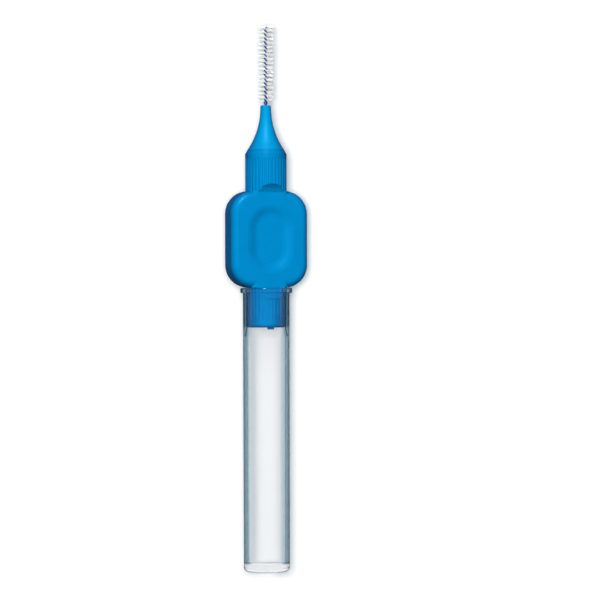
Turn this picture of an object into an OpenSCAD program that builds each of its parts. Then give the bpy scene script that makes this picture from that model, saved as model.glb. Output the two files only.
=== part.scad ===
// Interdental brush: a short thumb handle, a soft neck, a twisted wire with
// nylon filaments, and the clear cap, stored on the plug behind the handle.
// Millimetres. The brush lies on Z = 0 with its tip towards +Y.
// The modules are drawn standing up: z along the brush, tip at the top,
// x across the thumb pad, the front face of the pad towards -y.

/* [Thumb pad] */
// Width of the thumb pad
pad_w = 12.1; // [11.6:0.1:13.4]
// Length of the thumb pad along the brush
pad_len = 14.4; // [13:0.1:18]
// Thickness of the thumb pad
pad_t = 4.4; // [4.2:0.1:5]
// Corner radius of the pad seen from its face
pad_corner_r = 3.4; // [2.6:0.1:3.8]
// Rounding between the faces and the side walls of the pad
pad_edge_r = 1.05; // [0.8:0.05:1.5]
// Width of the thumb dish in each face
dish_w = 7.8; // [6.6:0.1:8]
// Length of the thumb dish
dish_len = 10.8; // [9:0.1:11.4]
// Depth of the thumb dish
dish_depth = 0.45; // [0.3:0.05:0.55]
// Width of the sloping wall around the dish
dish_wall_w = 2.2; // [1.8:0.1:2.6]

/* [Collar and plug] */
// Radius of the collar and of the rear plug, over the crests of the flutes
barrel_r = 3.1; // [2.9:0.05:3.3]
// Length of the collar from the pad to the foot of the neck
collar_len = 6.3; // [5.6:0.1:8]
// Height of the bevel at the top of the collar
bevel_len = 0.7; // [0.4:0.05:1]
// Length of the smooth band under the bevel
band_len = 0.7; // [0.5:0.05:1]
// Length of the rear plug
plug_len = 6; // [5:0.1:6.5]
// Smooth length at the end of the rear plug
plug_band_len = 1.15; // [0.8:0.05:1.5]
// Rounding of the end of the rear plug
plug_end_r = 0.45; // [0.3:0.05:0.6]
// Number of flutes around the collar and the plug
flute_count = 34; // [24:2:40]
// Radius of the rounded groove of a flute
flute_r = 0.25; // [0.2:0.01:0.3]
// Depth of a flute
flute_depth = 0.08; // [0.06:0.01:0.1]
// Width of the scoop where the collar runs out into the face of the pad
scoop_w = 3.1; // [2.6:0.1:3.4]
// Height of that scoop on the collar
scoop_len = 1.1; // [1:0.1:1.8]
// Height of the scoop on the rear plug
plug_scoop_len = 1.9; // [1.5:0.1:2.2]
// Radius of the hollow cove in which a scoop runs up to its far end
cove_r = 2.2; // [1.6:0.1:3]
// Depth of the notch in each flank of the rear plug, beside the pad
notch_depth = 0.25; // [0.1:0.05:0.3]
// Height of that notch
notch_len = 1; // [0.7:0.1:1.3]
// Width of the moulding gate left on the end of the plug
gate_w = 1; // [0.8:0.1:1.2]
// Height of the moulding gate
gate_h = 0.3; // [0.2:0.05:0.4]

/* [Neck] */
// Length of the soft neck above the collar
neck_len = 6.6; // [5.5:0.1:8]
// Radius of the neck at its foot
neck_foot_r = 2.7; // [2.4:0.05:2.8]
// Radius of the neck at its tip
neck_tip_r = 0.8; // [0.75:0.05:1]
// Straight length at the tip of the neck
neck_tip_len = 0.4; // [0.3:0.05:0.6]
// Rounding of the tip edge of the neck
neck_tip_round = 0.2; // [0.1:0.05:0.3]
// Length of the hard stem of the handle inside the neck
stem_len = 3.8; // [3:0.1:4.2]
// Radius of the stem at its foot
stem_foot_r = 1.4; // [1.1:0.05:1.6]
// Radius of the stem at its top
stem_top_r = 0.7; // [0.6:0.05:0.75]

/* [Wire and filaments] */
// Diameter of the coated wire
wire_d = 0.25; // [0.22:0.01:0.28]
// Gap between the two legs of the wire, where they pinch the filaments
pinch_gap = 0.08; // [0.07:0.01:0.12]
// Rise of the twist in one full turn
twist_pitch = 1.23; // [1.1:0.01:1.5]
// Bare wire between the neck and the filaments
bare_len = 0.6; // [0.4:0.1:1.5]
// Length of the brush head along the wire
brush_len = 11.4; // [9:0.1:14]
// Diameter of the brush head
brush_d = 2.4; // [1.8:0.1:3]
// Thickness of a strand of filament at its tip
strand_tip = 0.05; // [0.04:0.01:0.06]
// Length of the wire held inside the neck and the handle
anchor_len = 9; // [7.5:0.1:10]

/* [Cap] */
// Length of the clear cap
cap_len = 42.5; // [38:0.5:48]
// Depth of the gripping mouth of the cap
mouth_len = 7.2; // [6.9:0.1:8.5]
// Wall of the cap around the grip channels of the mouth
mouth_wall = 0.26; // [0.24:0.01:0.35]
// Wall of the cap beyond the mouth
tube_wall = 0.55; // [0.45:0.01:0.6]
// Wall of the closed end
end_wall = 1.2; // [0.8:0.05:1.4]
// Outer rounding of the closed end
end_r = 0.6; // [0.4:0.05:0.8]
// How much the radius shrinks from the mouth to the closed end
cap_draft = 0.05; // [0.03:0.01:0.08]
// How far the rim stands out around the mouth
rim_lip = 0.4; // [0.3:0.05:0.5]
// Thickness of the rim
rim_t = 0.75; // [0.6:0.05:1]
// Rounding of the edges of the rim
rim_round = 0.15; // [0.1:0.01:0.2]
// Width of one of the four grip lands in the mouth
land_w = 3.1; // [2.6:0.1:3.4]

/* [Fits] */
// Radial play between the plug and the grip lands
grip_play = 0.03; // [0.02:0.01:0.05]
// Depth of the channels between the grip lands
channel_depth = 0.1; // [0.08:0.01:0.12]
// Gap between the mouth of the cap and the pad when the cap is home
stop_gap = 0.1; // [0.05:0.01:0.2]
// Radial play of the wire in its hole
wire_play = 0.02; // [0.01:0.01:0.04]

/* [Hidden] */
$fn = 96;
// How far a cut runs past the face that it opens
over = 0.1;

// Places along the brush, from the rear edge of the pad
collar_top = pad_len + collar_len;
neck_top = collar_top + neck_len;
brush_foot = neck_top + bare_len;
brush_top = brush_foot + brush_len;
cap_end = -stop_gap - cap_len;

// Radii of the cap
land_r = barrel_r + grip_play;
channel_r = land_r + channel_depth;
cap_r = channel_r + mouth_wall;
rim_r = cap_r + rim_lip;
bore_r = cap_r - tube_wall;
bore_end_r = bore_r - cap_draft;
lead_in = channel_depth;
lead_in_len = 3 * lead_in;
land_bevel_share = 1 / 6;
land_bevel = land_bevel_share * land_w;
land_bevel_len = 2 * land_bevel;

// Roll about the long axis at which the pad and the rim both touch the table
core_w = pad_w / 2 - pad_edge_r;
core_t = pad_t / 2 - pad_edge_r;
roll_sine = (rim_r - pad_edge_r) / norm([core_w, core_t]);
roll = asin(roll_sine) - atan2(core_t, core_w);

// Arc of the neck, upright where it meets the straight tip
neck_arc_h = neck_len - neck_tip_len;
neck_flare = neck_foot_r - neck_tip_r;
neck_arc_r = (pow(neck_arc_h, 2) + pow(neck_flare, 2)) / (2 * neck_flare);

// The wall of the dish is an S of two equal arcs, one hollow and one crowned.
// The crowned arc rises a hair over the face, so that it cuts it cleanly.
hair_share = 0.02;
dish_hair = hair_share * dish_depth;
dish_rise = dish_depth + dish_hair;
dish_wall_r = pow(dish_wall_w, 2) / (4 * dish_rise) + dish_rise / 4;
dish_floor_w = dish_w / 2 - dish_wall_w;

// How far the flutes are turned from the plane of the pad, as a share of their step
flute_turn_share = 0.5;
// Corner radius of the arch of a scoop, as a share of its width
arch_share = 0.2;
// How far the gate stays inside the rounded end, as a share of the rounding
gate_inset_share = 0.5;

// Radius of the cutter of the flank notch
notch_r = (pow(notch_len / 2, 2) + pow(notch_depth, 2)) / (2 * notch_depth);

// Twisted wire
leg_r = (wire_d + pinch_gap) / 2;
wire_hole_r = leg_r + wire_d / 2 + wire_play;
wire_top = brush_top - strand_tip;
wire_foot = neck_top - anchor_len;
hole_foot = wire_foot - wire_hole_r;
straight_len = 2 * wire_d;
// Angle of the first leg where the twist begins
twist_start = 60;
wire_sides = 6;
rings_a_turn = 8;
bend_rings = 6;

// Filaments: the core of the comb as shares of the gap and of the wire, and
// the half height of a strand at its tip as a share of its segment at most
segments = 200;
core_t_share = 0.3;
core_w_share = 0.35;
tip_share = 0.45;
core_half_t = core_t_share * pinch_gap;
core_half_w = core_w_share * wire_d;

// Lays what is drawn standing down on the table
module lay_down() {
    middle = (brush_top + cap_end) / 2;
    translate([0, -middle, rim_r])
        rotate([0, roll, 0])
            rotate([-90, 0, 0])
                children();
}

// A rectangle with rounded corners, centred
module rounded_box(w, h, r) {
    square([w - 2 * r, h], center = true);
    square([w, h - 2 * r], center = true);
    for (sx = [-1, 1], sy = [-1, 1])
        translate([sx * (w / 2 - r), sy * (h / 2 - r)])
            circle(r);
}

// One corner of the pad, turned about an axis through its thickness
module pad_corner() {
    rotate([90, 0, 0])
        rotate_extrude()
            intersection() {
                rounded_box(2 * pad_corner_r, pad_t, pad_edge_r);
                translate([0, -pad_t])
                    square([2 * pad_corner_r, 2 * pad_t]);
            }
}

// The pad without its dishes, its rear edge at z = 0
module pad_blank() {
    corner_x = pad_w / 2 - pad_corner_r;
    corner_z = pad_len / 2 - pad_corner_r;
    translate([0, 0, pad_len / 2]) {
        for (sx = [-1, 1], sz = [-1, 1])
            translate([sx * corner_x, 0, sz * corner_z])
                pad_corner();
        translate([0, 0, -corner_z])
            linear_extrude(2 * corner_z)
                rounded_box(pad_w, pad_t, pad_edge_r);
        translate([-corner_x, 0, 0])
            rotate([90, 0, 90])
                linear_extrude(2 * corner_x)
                    rounded_box(pad_t, pad_len, pad_edge_r);
    }
}

// Half section of the dish: x runs outwards from the centre of its round end,
// y is the height over the face
module dish_section() {
    hollow_w = dish_wall_w / 2;
    translate([0, -dish_depth])
        square([dish_floor_w + over, dish_depth + over]);
    intersection() {
        translate([dish_floor_w, dish_wall_r - dish_depth])
            circle(dish_wall_r);
        translate([dish_floor_w, -dish_depth])
            square([hollow_w, dish_depth + over]);
    }
    difference() {
        translate([dish_floor_w + hollow_w, -dish_depth])
            square([hollow_w, dish_depth + over]);
        translate([dish_floor_w + dish_wall_w, dish_hair - dish_wall_r])
            circle(dish_wall_r);
    }
}

// Cutter of the thumb dish in the front face: a long oval with round ends
module dish_cut() {
    run = dish_len / 2 - dish_w / 2;
    translate([0, -pad_t / 2, pad_len / 2])
        rotate([90, 0, 0]) {
            for (end = [-1, 1])
                translate([0, end * run, 0])
                    rotate_extrude()
                        dish_section();
            translate([0, run, 0])
                rotate([90, 0, 0])
                    linear_extrude(2 * run)
                        for (side = [0, 1])
                            mirror([side, 0])
                                dish_section();
        }
}

// Cross section of the fluted barrel
module fluted_disc() {
    difference() {
        circle(barrel_r);
        for (i = [0 : flute_count - 1])
            rotate((i + flute_turn_share) * 360 / flute_count)
                translate([barrel_r - flute_depth + flute_r, 0])
                    circle(flute_r, $fn = 24);
    }
}

// Smooth root that carries the rounding of the pad on to the barrel
module barrel_root() {
    linear_extrude(pad_edge_r)
        rounded_box(2 * barrel_r, pad_t, pad_edge_r);
}

// Collar: root, fluted part, smooth band and bevel
module collar() {
    flute_top = collar_top - bevel_len - band_len;
    translate([0, 0, pad_len - pad_edge_r])
        barrel_root();
    translate([0, 0, pad_len])
        linear_extrude(flute_top - pad_len)
            fluted_disc();
    translate([0, 0, flute_top])
        cylinder(band_len, r = barrel_r);
    translate([0, 0, collar_top - bevel_len])
        cylinder(bevel_len, r1 = barrel_r, r2 = neck_foot_r);
}

// Rear plug: root, fluted part, smooth rounded end and moulding gate
module plug() {
    band_top = plug_band_len - plug_len;
    barrel_root();
    translate([0, 0, band_top])
        linear_extrude(-band_top)
            fluted_disc();
    rotate_extrude() {
        translate([0, -plug_len])
            square([barrel_r - plug_end_r, plug_band_len]);
        translate([0, plug_end_r - plug_len])
            square([barrel_r, plug_band_len - plug_end_r]);
        translate([barrel_r - plug_end_r, plug_end_r - plug_len])
            circle(plug_end_r);
    }
    gate_y = gate_w / 2 + (1 + gate_inset_share) * plug_end_r - barrel_r;
    translate([0, gate_y, -plug_len - gate_h])
        cylinder(gate_h + plug_end_r, d = gate_w);
}

// Outline of a scoop seen from the face: an arch that flares to the pad.
// Its foot is at y = 0 and it goes down into the pad as far as the rounding.
module scoop_outline(reach) {
    corner = arch_share * scoop_w;
    foot_w = sqrt(pow(barrel_r, 2) - pow(pad_t / 2, 2));
    hull_w = scoop_w / 2 - corner;
    translate([-scoop_w / 2, -pad_edge_r])
        square([scoop_w, reach - corner + pad_edge_r]);
    translate([-hull_w, 0])
        square([2 * hull_w, reach]);
    for (side = [-1, 1])
        translate([side * hull_w, reach - corner])
            circle(corner);
    polygon([
        [-barrel_r, -pad_edge_r], [barrel_r, -pad_edge_r], [foot_w, 0],
        [scoop_w / 2, corner / 2], [-scoop_w / 2, corner / 2], [-foot_w, 0]
    ]);
}

// Cuts the scoop into the front face, down to the level of the pad's face.
// Towards its far end the floor runs up in a hollow cove.
module scoop_cut(reach) {
    rise = barrel_r - pad_t / 2;
    cove_z = reach - sqrt(pow(cove_r, 2) - pow(cove_r - rise, 2));
    intersection() {
        translate([0, -pad_t / 2, 0])
            rotate([90, 0, 0])
                linear_extrude(barrel_r)
                    scoop_outline(reach);
        union() {
            translate([-barrel_r, -pad_t / 2 - cove_r, cove_z])
                rotate([0, 90, 0])
                    cylinder(2 * barrel_r, r = cove_r);
            translate([-barrel_r, -pad_t / 2 - barrel_r, cove_z - pad_len / 2])
                cube([2 * barrel_r, barrel_r, pad_len / 2]);
        }
    }
}

// Cuts the notch into one flank of the plug
module notch_cut() {
    translate([barrel_r - notch_depth + notch_r, barrel_r, -notch_len / 2])
        rotate([90, 0, 0])
            cylinder(2 * barrel_r, r = notch_r);
}

// Hard moulding: thumb pad, collar, rear plug and the stem inside the neck
module handle() {
    color("#0A78C8")
        difference() {
            union() {
                pad_blank();
                collar();
                plug();
                translate([0, 0, collar_top - over])
                    cylinder(stem_len + over, r1 = stem_foot_r, r2 = stem_top_r);
            }
            for (turn = [0, 180])
                rotate([0, 0, turn]) {
                    dish_cut();
                    translate([0, 0, pad_len])
                        scoop_cut(scoop_len);
                    mirror([0, 0, 1])
                        scoop_cut(plug_scoop_len);
                    notch_cut();
                }
            translate([0, 0, hole_foot])
                cylinder(neck_top - hole_foot, r = wire_hole_r);
        }
}

// Soft neck moulded over the stem, with the hole for the wire
module soft_neck() {
    color("#00A0DC")
        difference() {
            translate([0, 0, collar_top])
                rotate_extrude() {
                    difference() {
                        square([neck_foot_r, neck_len - neck_tip_round]);
                        translate([neck_tip_r + neck_arc_r, neck_arc_h])
                            circle(neck_arc_r, $fn = 200);
                        translate([neck_tip_r, neck_arc_h])
                            square([neck_foot_r, neck_tip_len]);
                    }
                    square([neck_tip_r - neck_tip_round, neck_len]);
                    translate([neck_tip_r - neck_tip_round, neck_len - neck_tip_round])
                        circle(neck_tip_round);
                }
            translate([0, 0, collar_top])
                cylinder(stem_len, r1 = stem_foot_r, r2 = stem_top_r);
            translate([0, 0, collar_top])
                cylinder(neck_len + over, r = wire_hole_r);
        }
}

// Angle of the first leg at a height: it winds left-handed above the foot
function leg_angle(z) =
    twist_start - 360 * max(0, z - wire_foot - straight_len) / twist_pitch;

function unit(v) = v / norm(v);

// Heights of the rings of one leg, from the tip down
leg_len = wire_top - wire_foot;
leg_rings = ceil(leg_len / twist_pitch * rings_a_turn);
leg_z = [for (i = [0 : leg_rings]) wire_top - i * leg_len / leg_rings];

function leg_point(z, offset) =
    [leg_r * cos(leg_angle(z) + offset), leg_r * sin(leg_angle(z) + offset), z];

// Least gap between the two legs, measured on their points
leg_gap = min([for (z = leg_z) norm(leg_point(z, 0) - leg_point(z, 180))]) - wire_d;
echo("Least gap between the legs of the wire", leg_gap);

// Middle line of the whole wire: down one leg, round the fold, up the other
fold = [
    for (i = [1 : bend_rings - 1])
        let (b = 180 * i / bend_rings)
        [leg_r * cos(b) * cos(twist_start), leg_r * cos(b) * sin(twist_start),
            wire_foot - leg_r * sin(b)]
];
wire_line = concat(
    [for (z = leg_z) leg_point(z, 0)],
    fold,
    [for (i = [leg_rings : -1 : 0]) leg_point(leg_z[i], 180)]
);
// Outward directions that go with the points of the middle line
wire_out = concat(
    [for (z = leg_z) unit([leg_point(z, 0).x, leg_point(z, 0).y, 0])],
    [for (p = fold) unit(p - [0, 0, wire_foot])],
    [for (i = [leg_rings : -1 : 0])
        unit([leg_point(leg_z[i], 180).x, leg_point(leg_z[i], 180).y, 0])]
);

// Ring of points around the middle line, square to it
function wire_ring(i, r) =
    let (
        last = len(wire_line) - 1,
        along = unit(wire_line[min(i + 1, last)] - wire_line[max(i - 1, 0)]),
        out = unit(wire_out[i] - (wire_out[i] * along) * along),
        side = cross(along, out)
    )
    [for (k = [0 : wire_sides - 1])
        let (a = 360 * k / wire_sides)
        wire_line[i] + r * cos(a) * out + r * sin(a) * side];

// Faces of a tube of rings, closed at both ends, all triangles
function tube_faces(rings, sides) = concat(
    [for (i = [0 : rings - 2], k = [0 : sides - 1])
        let (n = (k + 1) % sides)
        [i * sides + k, i * sides + n, (i + 1) * sides + n]],
    [for (i = [0 : rings - 2], k = [0 : sides - 1])
        let (n = (k + 1) % sides)
        [i * sides + k, (i + 1) * sides + n, (i + 1) * sides + k]],
    [for (k = [1 : sides - 2]) [0, k + 1, k]],
    [for (k = [1 : sides - 2])
        [(rings - 1) * sides, (rings - 1) * sides + k, (rings - 1) * sides + k + 1]]
);

// One steel wire with a bonded plastic coat, folded and twisted on itself
module twisted_wire() {
    count = len(wire_line);
    points = [for (i = [0 : count - 1]) each wire_ring(i, wire_d / 2)];
    color("#174F9C")
        polyhedron(points, tube_faces(count, wire_sides), convexity = 10);
}

// Filament comb. Ring i of the core has four corners. The two sides of a
// segment that look along the pinched filaments run out as two strands.
seg_h = brush_len / segments;
function core_ring(i) =
    let (
        z = brush_foot + i * seg_h,
        a = leg_angle(z),
        u = [cos(a), sin(a), 0],
        v = [-sin(a), cos(a), 0],
        c = [0, 0, z]
    )
    [c + core_half_t * u + core_half_w * v, c - core_half_t * u + core_half_w * v,
        c - core_half_t * u - core_half_w * v, c + core_half_t * u - core_half_w * v];

// Four tip corners of strand s (1 or -1) of segment i
function strand_ring(i, s) =
    let (
        z = brush_foot + (i + 0.5) * seg_h,
        a = leg_angle(z),
        u = [cos(a), sin(a), 0],
        v = [-sin(a), cos(a), 0],
        h = strand_tip / 2,
        c = [0, 0, z] + s * (brush_d / 2) * v,
        w = h * u * s,
        up = [0, 0, min(h, tip_share * seg_h)]
    )
    [c + w - up, c - w - up, c - w + up, c + w + up];

comb_points = concat(
    [for (i = [0 : segments]) each core_ring(i)],
    [for (i = [0 : segments - 1]) each strand_ring(i, 1)],
    [for (i = [0 : segments - 1]) each strand_ring(i, -1)]
);

// Two triangles for a four-cornered patch seen clockwise from outside
function patch(a, b, c, d) = [[a, b, c], [a, c, d]];

// The four sides and the tip of one strand, from its foot to its tip
function strand_faces(foot, tip) = concat(
    [for (k = [0 : 3])
        let (n = (k + 1) % 4)
        each patch(foot[k], tip[k], tip[n], foot[n])],
    patch(tip[0], tip[3], tip[2], tip[1])
);

comb_faces = concat(
    [for (i = [0 : segments - 1])
        let (q = 4 * i)
        each concat(
            patch(q + 1, q + 5, q + 6, q + 2),
            patch(q + 3, q + 7, q + 4, q)
        )],
    [for (i = [0 : segments - 1])
        let (q = 4 * i, t = 4 * (segments + 1) + 4 * i)
        each strand_faces([q, q + 1, q + 5, q + 4], [t, t + 1, t + 2, t + 3])],
    [for (i = [0 : segments - 1])
        let (q = 4 * i, t = 4 * (segments + 1) + 4 * segments + 4 * i)
        each strand_faces([q + 2, q + 3, q + 7, q + 6], [t, t + 1, t + 2, t + 3])],
    patch(0, 1, 2, 3),
    patch(4 * segments + 3, 4 * segments + 2, 4 * segments + 1, 4 * segments)
);

// Nylon filaments, pinched between the legs of the wire and fanned by the twist
module filaments() {
    color("#EEF2F5")
        polyhedron(comb_points, comb_faces, convexity = 10);
}

// What a rounding takes off a square corner that points to +x and -y
module corner_chip(r) {
    difference() {
        translate([-r, -over])
            square([r + over, r + over]);
        translate([-r, r])
            circle(r);
    }
}

// Half section of the solid cap, its mouth at y = 0
module cap_outside() {
    end_out_r = cap_r - cap_draft;
    difference() {
        polygon([
            [0, 0], [rim_r, 0], [rim_r, -rim_t], [cap_r, -rim_t],
            [end_out_r, -cap_len], [0, -cap_len]
        ]);
        translate([end_out_r, -cap_len])
            corner_chip(end_r);
        translate([rim_r, -rim_t])
            corner_chip(rim_round);
        translate([rim_r, 0])
            mirror([0, 1])
                corner_chip(rim_round);
    }
}

// Half section of the bore: lead-in, grip lands, step, and the long tube
module cap_bore() {
    floor_y = end_wall - cap_len;
    difference() {
        polygon([
            [0, over], [land_r + lead_in, over], [land_r + lead_in, 0],
            [land_r, -lead_in_len], [land_r, -mouth_len], [bore_r, -mouth_len],
            [bore_end_r, floor_y], [0, floor_y]
        ]);
        translate([bore_end_r, floor_y])
            corner_chip(end_r - tube_wall / 2);
    }
}

// One grip land, narrower at its inner end, seen through the wall
module land_block() {
    rotate([90, 0, 0])
        linear_extrude(2 * channel_r)
            polygon([
                [-land_w / 2, over], [land_w / 2, over],
                [land_w / 2, land_bevel_len - mouth_len],
                [land_w / 2 - land_bevel, -mouth_len],
                [land_bevel - land_w / 2, -mouth_len],
                [-land_w / 2, land_bevel_len - mouth_len]
            ]);
}

// Clear cap with a rim around its mouth and four grip lands inside it
module cap() {
    color([0.85, 0.93, 0.97, 0.35])
        translate([0, 0, -stop_gap])
            difference() {
                rotate_extrude()
                    difference() {
                        cap_outside();
                        cap_bore();
                    }
                difference() {
                    translate([0, 0, -mouth_len])
                        cylinder(mouth_len + over, r = channel_r);
                    for (i = [0 : 3])
                        rotate([0, 0, 90 * i - roll])
                            land_block();
                }
            }
}

lay_down() handle();
lay_down() soft_neck();
lay_down() twisted_wire();
lay_down() filaments();
lay_down() cap();
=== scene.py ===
"""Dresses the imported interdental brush: clear cap on the rear plug, moulded
handle, soft neck, coated wire and a fan of nylon filaments."""
import math
import random

import bmesh
import bpy
from mathutils import Matrix, Vector


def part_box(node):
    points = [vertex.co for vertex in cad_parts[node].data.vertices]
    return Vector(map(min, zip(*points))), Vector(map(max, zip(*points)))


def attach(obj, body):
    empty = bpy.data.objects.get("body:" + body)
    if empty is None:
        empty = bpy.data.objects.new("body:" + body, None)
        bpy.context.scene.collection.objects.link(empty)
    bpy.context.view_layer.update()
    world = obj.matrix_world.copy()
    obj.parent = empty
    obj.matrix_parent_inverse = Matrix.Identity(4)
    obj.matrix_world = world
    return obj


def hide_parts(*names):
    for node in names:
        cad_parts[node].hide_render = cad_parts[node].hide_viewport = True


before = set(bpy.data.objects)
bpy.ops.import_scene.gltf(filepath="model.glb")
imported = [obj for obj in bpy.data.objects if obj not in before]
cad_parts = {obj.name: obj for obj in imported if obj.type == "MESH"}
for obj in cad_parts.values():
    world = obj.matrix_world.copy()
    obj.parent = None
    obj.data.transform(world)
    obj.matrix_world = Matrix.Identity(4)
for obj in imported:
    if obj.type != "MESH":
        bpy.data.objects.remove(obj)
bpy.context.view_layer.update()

MM = 0.001

# ------------------------------------------------------------------ places
neck_low, neck_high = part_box("soft_neck")
head_low, head_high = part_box("filaments")

# The brush lies along +Y, with its axis at this height, and is rolled about
# that axis.
AXIS_HEIGHT = (neck_low.z + neck_high.z) / 2
ROLL = math.radians(20.66)

HEAD_FOOT = head_low.y
HEAD_TOP = head_high.y
BRUSH_RADIUS = (head_high.x - head_low.x) / 2

# Wire: radius of the coated leg, distance from its middle to the axis of the
# twist, rise of one turn, length held in neck and handle, and the straight
# start of that length. The tip stays behind the top filaments.
WIRE_RADIUS = 0.125 * MM
LEG_RADIUS = 0.165 * MM
TURN_RISE = 1.23 * MM
ANCHOR = 9.0 * MM
STRAIGHT_RUN = 0.5 * MM
TIP_BACK = 0.25 * MM
TWIST_START = math.radians(60)
WIRE_FOOT = neck_high.y - ANCHOR
TWIST_FOOT = WIRE_FOOT + STRAIGHT_RUN
WIRE_TOP = HEAD_TOP - TIP_BACK

# Cap: its wall, its bore and the floor of its closed end
CAP_WALL = 0.55 * MM
BORE_RADIUS = 3.23 * MM
END_WALL = 1.2 * MM
CAP_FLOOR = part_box("cap")[0].y + END_WALL

# End of the rear plug inside the cap, in front of the moulding gate
GATE_HEIGHT = 0.3 * MM
PLUG_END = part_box("handle")[0].y + GATE_HEIGHT


# ------------------------------------------------------------------ camera
PHOTO_LENS = 200
PHOTO_SENSOR = 36
PHOTO_DISTANCE = 500 * MM
PHOTO_CENTRE = Vector((5.07 * MM, -0.25 * MM, 0))
PHOTO_TURN = math.radians(-0.149)
NEAREST_SEEN = 0.01
FARTHEST_SEEN = 20

camera_data = bpy.data.cameras.new("photo_camera")
camera_data.lens = PHOTO_LENS
camera_data.sensor_width = PHOTO_SENSOR
camera_data.clip_start = NEAREST_SEEN
camera_data.clip_end = FARTHEST_SEEN
camera = bpy.data.objects.new("photo_camera", camera_data)
camera.location = PHOTO_CENTRE + Vector((0, 0, AXIS_HEIGHT + PHOTO_DISTANCE))
camera.rotation_euler = (0, 0, PHOTO_TURN)
bpy.context.scene.collection.objects.link(camera)
bpy.context.scene.camera = camera


# ------------------------------------------------------------ shader nodes
def feed(tree, node, inputs):
    """Fills inputs of a node, each with a value or another node's output."""
    for socket, value in dict(inputs).items():
        if isinstance(value, bpy.types.NodeSocket):
            tree.links.new(value, node.inputs[socket])
        else:
            node.inputs[socket].default_value = value
    return node


def new_node(tree, kind, inputs=(), **settings):
    """Adds a node with its settings and its inputs."""
    node = tree.nodes.new(kind)
    for setting, value in settings.items():
        setattr(node, setting, value)
    return feed(tree, node, inputs)


def calculate(tree, operation, *values):
    """A number worked out from numbers or outputs."""
    return new_node(
        tree, "ShaderNodeMath", enumerate(values), operation=operation
    ).outputs[0]


def calculate_vector(tree, operation, inputs, result="Vector"):
    """A vector, or its Value, worked out from vectors or outputs."""
    return new_node(
        tree, "ShaderNodeVectorMath", inputs, operation=operation
    ).outputs[result]


def blend(tree, factor, first, second):
    """The first colour at a factor of 0, the second one at 1."""
    return new_node(
        tree,
        "ShaderNodeMix",
        {"Factor": factor, "A": first, "B": second},
        data_type="RGBA",
    ).outputs["Result"]


def rise_between(tree, value, low, high, curve="LINEAR", inputs=()):
    """0 below the low value, 1 above the high one, unless inputs say other
    ends."""
    return new_node(
        tree,
        "ShaderNodeMapRange",
        {"Value": value, "From Min": low, "From Max": high, **dict(inputs)},
        interpolation_type=curve,
    ).outputs["Result"]


def new_material(name):
    """A material with its node tree and its Principled shader."""
    material = bpy.data.materials.new(name)
    material.use_nodes = True
    tree = material.node_tree
    return material, tree, tree.nodes["Principled BSDF"]


def new_group(name, inputs, outputs):
    """A shader node group with named sockets, its input and output nodes."""
    group = bpy.data.node_groups.new(name, "ShaderNodeTree")
    for label, kind, value in inputs:
        socket = group.interface.new_socket(label, in_out="INPUT", socket_type=kind)
        socket.default_value = value
    for label, kind in outputs:
        group.interface.new_socket(label, in_out="OUTPUT", socket_type=kind)
    return group, group.nodes.new("NodeGroupInput"), group.nodes.new("NodeGroupOutput")


# ---------------------------------------------------------- moulded plastic
PLASTIC_GRAIN = 6000
NYLON_GRAIN = 20000
# Middle part of the noise, which holds nearly all of its values
NOISE_LOW = 0.3
NOISE_HIGH = 0.7


def make_moulded_skin():
    """Moulded plastic: slow drift of colour and roughness, and a fine grain."""
    group, source, sink = new_group(
        "moulded_skin",
        [
            ("Color", "NodeSocketColor", (0.5, 0.5, 0.5, 1)),
            ("Color Drift", "NodeSocketFloat", 0.04),
            ("Drift Scale", "NodeSocketFloat", 250),
            ("Roughness", "NodeSocketFloat", 0.4),
            ("Roughness Drift", "NodeSocketFloat", 0.05),
            ("Grain Scale", "NodeSocketFloat", PLASTIC_GRAIN),
            ("Grain Height", "NodeSocketFloat", 0.002 * MM),
        ],
        [
            ("Color", "NodeSocketColor"),
            ("Roughness", "NodeSocketFloat"),
            ("Normal", "NodeSocketVector"),
        ],
    )
    given = source.outputs
    place = new_node(group, "ShaderNodeTexCoord").outputs["Object"]
    drift = new_node(
        group,
        "ShaderNodeTexNoise",
        {"Vector": place, "Scale": given["Drift Scale"], "Detail": 3},
    ).outputs["Fac"]
    grain = new_node(
        group,
        "ShaderNodeTexNoise",
        {"Vector": place, "Scale": given["Grain Scale"], "Detail": 2},
    ).outputs["Fac"]
    ends = {
        "To Min": calculate(group, "SUBTRACT", 1, given["Color Drift"]),
        "To Max": calculate(group, "ADD", 1, given["Color Drift"]),
    }
    shade = rise_between(group, drift, NOISE_LOW, NOISE_HIGH, inputs=ends)
    bump = new_node(
        group,
        "ShaderNodeBump",
        {"Strength": 1, "Distance": given["Grain Height"], "Height": grain},
    )
    feed(group, sink, {
        "Color": calculate_vector(
            group, "SCALE", {0: given["Color"], "Scale": shade}
        ),
        "Roughness": calculate(
            group, "MULTIPLY_ADD", drift, given["Roughness Drift"], given["Roughness"]
        ),
        "Normal": bump.outputs["Normal"],
    })
    return group


MOULDED_SKIN = make_moulded_skin()


def moulded_material(
    name, color, roughness, color_drift, grain_height, grain_scale=PLASTIC_GRAIN
):
    """A material that takes its surface from the moulded skin, and its
    shader."""
    material, tree, shader = new_material(name)
    skin = new_node(tree, "ShaderNodeGroup", node_tree=MOULDED_SKIN)
    feed(tree, skin, {
        "Color": (*color, 1),
        "Color Drift": color_drift,
        "Roughness": roughness,
        "Grain Height": grain_height,
        "Grain Scale": grain_scale,
    })
    feed(tree, shader, {
        "Base Color": skin.outputs["Color"],
        "Roughness": skin.outputs["Roughness"],
        "Normal": skin.outputs["Normal"],
    })
    return material, shader


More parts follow.
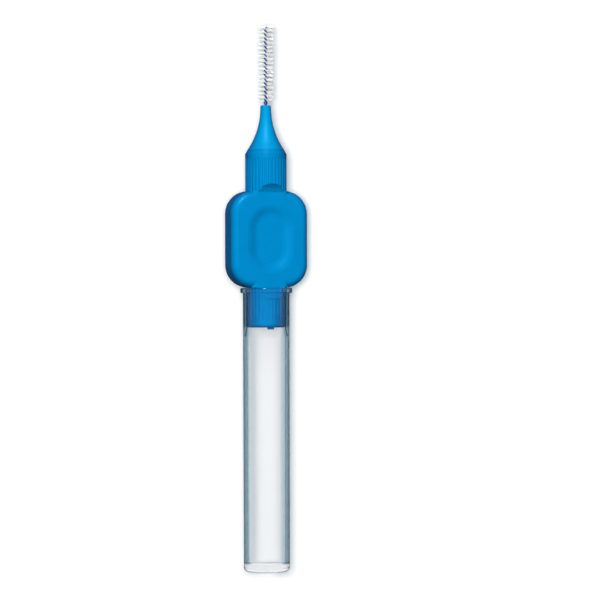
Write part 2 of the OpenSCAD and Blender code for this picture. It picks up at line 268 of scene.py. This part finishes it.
# A blue-tinted coat over the pigment: it deepens the colour face on and darkens it
# further where the plastic is seen at a slant, which paints shade on the sides of round
# parts. The specular tint colours what the plastic mirrors blue.
SLANT_SHADE_COAT = {
    "Specular IOR Level": 0.4,
    "Specular Tint": (0.2, 0.8, 1.0, 1),
    "Coat Weight": 1,
    "Coat IOR": 1.06,
    "Coat Roughness": 0.3,
    "Coat Tint": (0.6, 0.7, 0.82, 1),
}
NYLON_SHEEN = 0.3


def coat_with_slant_shade(material, shader):
    """Lays the tinted coat, with its painted slant shade, over a moulded material."""
    feed(material.node_tree, shader, SLANT_SHADE_COAT)
    return material


handle_plastic = coat_with_slant_shade(*moulded_material(
    "handle_plastic",
    color=(0.0, 0.375, 0.74),
    roughness=0.24,
    color_drift=0.04,
    grain_height=0.0015 * MM,
))
neck_elastomer = coat_with_slant_shade(*moulded_material(
    "neck_elastomer",
    color=(0.0, 0.5, 0.88),
    roughness=0.35,
    color_drift=0.03,
    grain_height=0.001 * MM,
))
coated_wire, _ = moulded_material(
    "coated_wire",
    color=(0.01, 0.08, 0.32),
    roughness=0.25,
    color_drift=0.08,
    grain_height=0.001 * MM,
)
filament_nylon, nylon_shader = moulded_material(
    "filament_nylon",
    color=(0.98, 0.975, 0.965),
    roughness=0.35,
    color_drift=0.02,
    grain_height=0.0005 * MM,
    grain_scale=NYLON_GRAIN,
)
nylon_shader.inputs["Sheen Weight"].default_value = NYLON_SHEEN


# --------------------------------------------------------------- clear cap
CAP_ROUGHNESS = 0.05
CAP_IOR = 1.49

# Each stop: the slant at which the wall is met, from 0 face on to 1 edge on, and the
# colour of the light that it passes on there. In the tube, mouth and bore stops, the
# darkening towards edge on is painted shade: it stands in for the shadowed floor seen
# through the edges of the tube, and for the dark blue plug that fills the mouth.
TUBE_SLANT_SHADE = [
    (0.0, (0.97, 0.975, 0.985)),
    (0.1, (0.97, 0.98, 0.99)),
    (0.18, (0.93, 0.96, 0.98)),
    (0.28, (0.55, 0.68, 0.75)),
    (0.43, (0.06, 0.14, 0.19)),
    (0.7, (0.035, 0.08, 0.1)),
    (1.0, (0.04, 0.09, 0.11)),
]
MOUTH_SLANT_SHADE = [
    (0.0, (0.84, 0.89, 0.92)),
    (0.15, (0.62, 0.75, 0.84)),
    (0.28, (0.22, 0.42, 0.58)),
    (0.43, (0.03, 0.13, 0.24)),
    (0.65, (0.0002, 0.006, 0.016)),
    (1.0, (0.0002, 0.004, 0.01)),
]
BORE_SLANT_SHADE = [
    (0.0, (0.98, 0.985, 0.99)),
    (0.5, (0.95, 0.965, 0.975)),
    (0.75, (0.55, 0.62, 0.66)),
    (1.0, (0.3, 0.36, 0.4)),
]
LAMP_TINT = [
    (0.0, (0.985, 0.985, 0.985)),
    (0.15, (0.95, 0.955, 0.96)),
    (0.3, (0.86, 0.87, 0.88)),
    (0.45, (0.6, 0.62, 0.64)),
    (0.6, (0.22, 0.25, 0.28)),
    (0.75, (0.04, 0.05, 0.06)),
    (1.0, (0.02, 0.02, 0.03)),
]

# How far one tint of the wall takes to pass into the next
MOUTH_FADE = CAP_WALL / 4
END_FADE = CAP_WALL / 2
SKIN_FADE = CAP_WALL / 5


def slant_color(tree, slant, stops):
    """A colour for each slant at which the wall of the cap is met."""
    ramp = new_node(tree, "ShaderNodeValToRGB", {"Fac": slant})
    elements = ramp.color_ramp.elements
    for element, (place, color) in zip(elements, (stops[0], stops[-1])):
        element.position, element.color = place, (*color, 1)
    for place, color in stops[1:-1]:
        elements.new(place).color = (*color, 1)
    return ramp.outputs["Color"]


def make_clear_cap():
    """Clear moulded polypropylene. Its outer skin carries painted shade: it is coloured
    darker where the wall is seen at a slant, most of all around the plug, and it lets
    the lamps through."""
    material, tree, shader = new_material("clear_cap")
    slant = new_node(tree, "ShaderNodeLayerWeight", {"Blend": 0.5}).outputs["Facing"]
    place = new_node(tree, "ShaderNodeTexCoord").outputs["Object"]
    along = new_node(tree, "ShaderNodeSeparateXYZ", {0: place}).outputs["Y"]
    in_mouth = rise_between(
        tree, along, PLUG_END - MOUTH_FADE, PLUG_END + MOUTH_FADE, "SMOOTHSTEP"
    )
    # Painted shade on the outer skin: darker towards edge on, and darkest around the
    # plug
    outer_slant_shade = blend(
        tree,
        in_mouth,
        slant_color(tree, slant, TUBE_SLANT_SHADE),
        slant_color(tree, slant, MOUTH_SLANT_SHADE),
    )
    # The faces of the bore and the solid end get less of the painted shade than the
    # outer skin of the tube.
    from_axis = calculate_vector(tree, "SUBTRACT", {0: place, 1: (0, 0, AXIS_HEIGHT)})
    across = calculate_vector(tree, "MULTIPLY", {0: from_axis, 1: (1, 0, 1)})
    radius = calculate_vector(tree, "LENGTH", {0: across}, "Value")
    on_skin = rise_between(tree, radius, BORE_RADIUS, BORE_RADIUS + SKIN_FADE)
    on_tube = rise_between(tree, along, CAP_FLOOR - END_FADE, CAP_FLOOR + END_FADE)
    tint = blend(
        tree,
        calculate(tree, "MULTIPLY", on_skin, on_tube),
        slant_color(tree, slant, BORE_SLANT_SHADE),
        outer_slant_shade,
    )
    feed(tree, shader, {
        "Base Color": tint,
        "Roughness": CAP_ROUGHNESS,
        "IOR": CAP_IOR,
        "Transmission Weight": 1,
    })
    lamp_tint = slant_color(tree, slant, LAMP_TINT)
    for_lamps = new_node(tree, "ShaderNodeBsdfTransparent", {"Color": lamp_tint})
    path = new_node(tree, "ShaderNodeLightPath")
    wall = new_node(tree, "ShaderNodeMixShader", {
        0: path.outputs["Is Shadow Ray"],
        1: shader.outputs[0],
        2: for_lamps.outputs[0],
    })
    feed(tree, tree.nodes["Material Output"], {"Surface": wall.outputs[0]})
    return material


clear_cap = make_clear_cap()


# ------------------------------------------------------- pieces of the frame
def dress_node(node, material):
    """Gives a solid that the frame brings its finished material."""
    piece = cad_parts[node]
    piece.data.materials.clear()
    piece.data.materials.append(material)


dress_node("handle", handle_plastic)
dress_node("soft_neck", neck_elastomer)
dress_node("cap", clear_cap)


# -------------------------------------------------------------- new pieces
def edges_in(geometry):
    """The edges among what an operator made."""
    return [part for part in geometry if isinstance(part, bmesh.types.BMEdge)]


def verts_in(geometry):
    """The vertices among what an operator made."""
    return [part for part in geometry if isinstance(part, bmesh.types.BMVert)]


def lay_down(bm):
    """Lays a piece that was built standing on its foot down along +Y."""
    matrix = (
        Matrix.Translation((0, 0, AXIS_HEIGHT))
        @ Matrix.Rotation(ROLL, 4, "Y")
        @ Matrix.Rotation(math.radians(-90), 4, "X")
    )
    bmesh.ops.transform(bm, matrix=matrix, verts=bm.verts)


def make_piece(name, bm, material, smooth_angle):
    """Turns a finished bmesh into a piece on the handle body."""
    bmesh.ops.recalc_face_normals(bm, faces=bm.faces)
    mesh = bpy.data.meshes.new(name)
    bm.to_mesh(mesh)
    bm.free()
    mesh.shade_smooth()
    mesh.set_sharp_from_angle(angle=smooth_angle)
    mesh.materials.append(material)
    piece = bpy.data.objects.new(name, mesh)
    bpy.context.scene.collection.objects.link(piece)
    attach(piece, "handle")
    return piece


# ------------------------------------------------------------ twisted wire
WIRE_SIDES = 12
STEPS_A_TURN = 20
BEND_STEPS = 6
WIRE_CREASE = math.radians(50)
MERGE_DISTANCE = WIRE_RADIUS / 100


def twist_angle(height):
    """Angle of the first leg at a height: the wire winds left-handed."""
    return TWIST_START - 2 * math.pi * max(0, height - TWIST_FOOT) / TURN_RISE


def make_leg(bm):
    """One leg of the wire, from the middle of the fold to its cut end."""
    ring = bmesh.ops.create_circle(bm, radius=WIRE_RADIUS, segments=WIRE_SIDES)["verts"]
    # The ring starts at the bottom of the fold, looking along the wire.
    bmesh.ops.rotate(bm, verts=ring, matrix=Matrix.Rotation(math.radians(90), 3, "Y"))
    bmesh.ops.translate(bm, verts=ring, vec=(0, 0, -LEG_RADIUS))
    out = bmesh.ops.spin(
        bm,
        geom=bm.edges[:],
        cent=(0, 0, 0),
        axis=(0, 1, 0),
        dvec=(0, 0, 0),
        angle=math.radians(-90),
        steps=BEND_STEPS,
        use_merge=False,
        use_duplicate=False,
    )["geom_last"]
    # Straight run up to the twist, where the ring leans into the helix
    out = bmesh.ops.extrude_edge_only(bm, edges=edges_in(out))["geom"]
    ring = verts_in(out)
    bmesh.ops.translate(bm, verts=ring, vec=(0, 0, STRAIGHT_RUN))
    lean = math.atan2(2 * math.pi * LEG_RADIUS, TURN_RISE)
    bmesh.ops.rotate(
        bm,
        verts=ring,
        cent=(LEG_RADIUS, 0, STRAIGHT_RUN),
        matrix=Matrix.Rotation(lean, 3, "X"),
    )
    rise = WIRE_TOP - TWIST_FOOT
    turns = rise / TURN_RISE
    steps = round(turns * STEPS_A_TURN)
    out = bmesh.ops.spin(
        bm,
        geom=edges_in(out),
        cent=(0, 0, 0),
        axis=(0, 0, 1),
        dvec=(0, 0, rise / steps),
        angle=-2 * math.pi * turns,
        steps=steps,
        use_merge=False,
        use_duplicate=False,
    )["geom_last"]
    # Cut end
    bmesh.ops.contextual_create(bm, geom=edges_in(out))


def make_wire():
    """One coated wire, folded at its foot and twisted on itself."""
    bm = bmesh.new()
    make_leg(bm)
    whole_leg = bm.verts[:] + bm.edges[:] + bm.faces[:]
    other_leg = bmesh.ops.duplicate(bm, geom=whole_leg)["geom"]
    bmesh.ops.rotate(
        bm,
        verts=verts_in(other_leg),
        matrix=Matrix.Rotation(math.radians(180), 3, "Z"),
    )
    bmesh.ops.remove_doubles(bm, verts=bm.verts, dist=MERGE_DISTANCE)
    bmesh.ops.rotate(bm, verts=bm.verts, matrix=Matrix.Rotation(TWIST_START, 3, "Z"))
    bmesh.ops.translate(bm, verts=bm.verts, vec=(0, 0, WIRE_FOOT))
    lay_down(bm)
    piece = make_piece("coated_wire_pair", bm, coated_wire, WIRE_CREASE)
    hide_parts("twisted_wire")


make_wire()


# --------------------------------------------------------------- filaments
# Filaments on each side of the wire
FILAMENTS = 820
FILAMENT_RADIUS = 0.03 * MM
FILAMENT_SIDES = 6
FILAMENT_STEPS = 3
FILAMENT_CREASE = math.radians(60)
FILAMENT_SEED = 11
# Thickness of a filament at its tip, as a share of that at its root
TIP_SHARE = 0.8
# The fan is loose on the side towards +X and tight on the other one.
LOOSE_SPREAD = math.radians(20)
TIGHT_SPREAD = math.radians(5)
# How much the tips stray along the brush, and how unevenly they are cut
TIP_LEAN = 0.07 * MM
TIP_TRIM = 0.03 * MM
LOWEST_FILAMENT = HEAD_FOOT + FILAMENT_RADIUS
HIGHEST_FILAMENT = HEAD_TOP - FILAMENT_RADIUS


def make_strand():
    """The mesh of one filament, standing up, with a length of 1."""
    strand = bmesh.new()
    bmesh.ops.create_circle(
        strand, radius=FILAMENT_RADIUS, segments=FILAMENT_SIDES, cap_ends=True
    )
    face = strand.faces[:]
    for _ in range(FILAMENT_STEPS):
        out = bmesh.ops.extrude_face_region(strand, geom=face)["geom"]
        face = [part for part in out if isinstance(part, bmesh.types.BMFace)]
        bmesh.ops.translate(
            strand, verts=verts_in(out), vec=(0, 0, 1 / FILAMENT_STEPS)
        )
    mesh = bpy.data.meshes.new("strand")
    strand.to_mesh(mesh)
    strand.free()
    return mesh


def set_strand(verts, height, side, rng):
    """Lays one strand from the wire outwards, where the legs leave room."""
    angle = twist_angle(height) + math.pi / 2 + side
    loose = (1 + math.cos(angle + ROLL)) / 2
    angle += rng.gauss(0, TIGHT_SPREAD + (LOOSE_SPREAD - TIGHT_SPREAD) * loose)
    length = BRUSH_RADIUS - abs(rng.gauss(0, TIP_TRIM))
    lean = rng.gauss(0, TIP_LEAN)
    outward = Vector((math.cos(angle), math.sin(angle), 0))
    across = Vector((-math.sin(angle), math.cos(angle), 0))
    for v in verts:
        reach = v.co.z
        taper = 1 - (1 - TIP_SHARE) * reach
        middle = height + lean * reach * reach
        middle = min(max(middle, LOWEST_FILAMENT), HIGHEST_FILAMENT)
        up = Vector((0, 0, middle + v.co.y * taper))
        v.co = outward * (reach * length) + across * v.co.x * taper + up


def make_filaments():
    """Straight nylon filaments, pinched between the legs and fanned out."""
    rng = random.Random(FILAMENT_SEED)
    strand = make_strand()
    bm = bmesh.new()
    room = HIGHEST_FILAMENT - LOWEST_FILAMENT
    for i in range(FILAMENTS):
        height = LOWEST_FILAMENT + room * (i + rng.random()) / FILAMENTS
        for side in (0, math.pi):
            first = len(bm.verts)
            bm.from_mesh(strand)
            bm.verts.ensure_lookup_table()
            set_strand(bm.verts[first:], height, side, rng)
    lay_down(bm)
    piece = make_piece(
        "nylon_filaments", bm, filament_nylon, FILAMENT_CREASE
    )
    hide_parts("filaments")
    return piece


nylon_filaments = make_filaments()


# -------------------------------------------------------- floor and room
LAMP_HEIGHT = 0.6
FLOOR_HALF = 3

# How bright the backdrop is in a mirror, as a share of its own light
MIRRORED = 0.05
# A count of bounces under this is none at all.
NO_BOUNCE = 0.5
# A ray that crossed no more faces of clear wall than this still counts: it
# is how clear walls show the floor beside them.
WALLS_CROSSED = 4.5

# The sheet: its colour and its glow where the camera sees it straight or through the
# cap, and its colour for light that it throws back. Seen through the cap, half of the
# shadow is filled with painted light: a glow that stands in for the light that the tube
# gathers.
SHEET = (0.92, 0.82, 0.77, 1)
SHEET_BEHIND_CAP = (0.54, 0.5, 0.48, 1)
GLOW = (0.11, 0.21, 0.26, 1)
GLOW_BEHIND_CAP = (0.52, 0.56, 0.58, 1)
SHEET_FOR_LIGHT = (0.05, 0.05, 0.05, 1)
# Glow of the sheet where the lamps no longer reach
HORIZON_GLOW = (1.03, 1.03, 1.03, 1)

ROOM_COLOR = (0.85, 0.93, 1, 1)
ROOM_STRENGTH = 0.08
WHITE = (1, 1, 1, 1)
# Except for the camera itself, the white of the room fades out between these
# heights, where 0 is level and 1 is straight up.
WHITE_TO = 0.1
DIM_FROM = 0.4


def seen_by_camera(tree):
    """1 for what the camera sees straight or through the walls of the cap, a
    dim share for what is mirrored, 0 once a surface has scattered the ray."""
    path = new_node(tree, "ShaderNodeLightPath").outputs
    through = calculate(
        tree, "MAXIMUM", path["Is Camera Ray"], path["Is Transmission Ray"]
    )
    unmirrored = calculate(tree, "LESS_THAN", path["Glossy Depth"], NO_BOUNCE)
    in_wall = calculate(tree, "LESS_THAN", path["Transmission Depth"], WALLS_CROSSED)
    clear = calculate(tree, "MAXIMUM", unmirrored, in_wall)
    straight = calculate(tree, "MULTIPLY", through, clear)
    glossy = calculate(tree, "MAXIMUM", path["Is Glossy Ray"], through)
    mirrored = calculate(tree, "MULTIPLY", glossy, MIRRORED)
    shown = calculate(tree, "MAXIMUM", straight, mirrored)
    unscattered = calculate(tree, "LESS_THAN", path["Diffuse Depth"], NO_BOUNCE)
    return calculate(tree, "MULTIPLY", shown, unscattered)


def make_white_sheet():
    """White paper that keeps the shadow of the brush and throws little light
    back on it."""
    material, tree, shader = new_material("white_sheet")
    shown = seen_by_camera(tree)
    behind_cap = new_node(tree, "ShaderNodeLightPath").outputs["Is Transmission Ray"]
    sheet = blend(tree, behind_cap, SHEET, SHEET_BEHIND_CAP)
    feed(tree, shader, {
        "Base Color": blend(tree, shown, SHEET_FOR_LIGHT, sheet),
        "Roughness": 1,
        "Specular IOR Level": 0,
    })
    # The lamps fade with distance, to 1 / (1 + (r / height)^2)^2, and the
    # glow makes up for that, so the sheet stays white to the horizon.
    place = new_node(tree, "ShaderNodeTexCoord").outputs["Object"]
    square = calculate_vector(tree, "DOT_PRODUCT", {0: place, 1: place}, "Value")
    spread = calculate(tree, "MULTIPLY_ADD", square, 1 / LAMP_HEIGHT**2, 1)
    lit = calculate(tree, "POWER", spread, -2)
    near_glow = blend(tree, behind_cap, GLOW, GLOW_BEHIND_CAP)
    glow = new_node(tree, "ShaderNodeEmission", {
        "Color": blend(tree, lit, HORIZON_GLOW, near_glow),
        "Strength": shown,
    })
    both = new_node(
        tree, "ShaderNodeAddShader", {0: shader.outputs[0], 1: glow.outputs[0]}
    )
    feed(tree, tree.nodes["Material Output"], {"Surface": both.outputs[0]})
    return material


def make_floor():
    """A large flat sheet under the brush."""
    bm = bmesh.new()
    bmesh.ops.create_grid(bm, x_segments=1, y_segments=1, size=FLOOR_HALF)
    mesh = bpy.data.meshes.new("studio_floor")
    bm.to_mesh(mesh)
    bm.free()
    floor = bpy.data.objects.new("studio_floor", mesh)
    bpy.context.scene.collection.objects.link(floor)
    mesh.materials.append(make_white_sheet())
    return floor


def make_world():
    """A dim even room, which the camera sees as white."""
    world = bpy.data.worlds.new("studio")
    world.use_nodes = True
    tree = world.node_tree
    room = feed(tree, tree.nodes["Background"], {
        "Color": ROOM_COLOR,
        "Strength": ROOM_STRENGTH,
    })
    white = new_node(tree, "ShaderNodeBackground", {"Color": WHITE, "Strength": 1})
    place = new_node(tree, "ShaderNodeTexCoord").outputs["Generated"]
    up = new_node(tree, "ShaderNodeSeparateXYZ", {0: place}).outputs["Z"]
    ends = {"To Min": 1, "To Max": 0}
    low_down = rise_between(tree, up, WHITE_TO, DIM_FROM, "SMOOTHSTEP", ends)
    camera_ray = new_node(tree, "ShaderNodeLightPath").outputs["Is Camera Ray"]
    white_there = calculate(tree, "MAXIMUM", low_down, camera_ray)
    shown = calculate(tree, "MULTIPLY", seen_by_camera(tree), white_there)
    backdrop = new_node(tree, "ShaderNodeMixShader", {
        0: shown,
        1: room.outputs[0],
        2: white.outputs[0],
    })
    feed(tree, tree.nodes["World Output"], {"Surface": backdrop.outputs[0]})
    bpy.context.scene.world = world


# ------------------------------------------------------------------- lamps
SOFTBOX_SIZE = 0.28
FILL_SIZE = 0.6
# From the brush towards each lamp
OVERHEAD = (-0.06, 0.05, 1)
BEYOND_HEAD = (0, 1, 1)
ABOVE_STRANDS = (-0.1, 0.1, 1)


def make_lamp(name, direction, power, lit=None, mirrored=False, size=SOFTBOX_SIZE):
    """A round soft light that looks at the brush, with its power in watts. It
    lights the objects of the collection lit, or else everything, and shows in
    the plastic only if it is mirrored."""
    data = bpy.data.lights.new(name, "AREA")
    data.shape = "DISK"
    data.size = size
    data.energy = power
    lamp = bpy.data.objects.new(name, data)
    toward = Vector(direction).normalized()
    lamp.location = toward * LAMP_HEIGHT
    lamp.rotation_mode = "QUATERNION"
    lamp.rotation_quaternion = toward.to_track_quat("Z", "Y")
    lamp.visible_glossy = mirrored
    lamp.visible_transmission = False
    if lit:
        lamp.light_linking.receiver_collection = lit
    bpy.context.scene.collection.objects.link(lamp)


def group_of(name, members):
    """A collection that only says which objects a lamp lights."""
    group = bpy.data.collections.new(name)
    for member in members:
        group.objects.link(member)
    return group


brush_pieces = [o for o in bpy.context.scene.objects if o.type == "MESH"]
lit_backdrop = group_of("lit_backdrop", [make_floor()])
lit_brush = group_of("lit_brush", brush_pieces)
lit_strands = group_of("lit_strands", [nylon_filaments])
make_world()

make_lamp("overhead_softbox", OVERHEAD, power=2.1)
make_lamp("backdrop_softbox", OVERHEAD, power=1.5, lit=lit_backdrop)
make_lamp("head_softbox", BEYOND_HEAD, power=2.26, lit=lit_brush, mirrored=True)
# Stands for the light that clear nylon strands hand on to one another
make_lamp("strand_fill", ABOVE_STRANDS, power=2.4, lit=lit_strands, size=FILL_SIZE)

bpy.context.scene.view_settings.view_transform = "Standard"
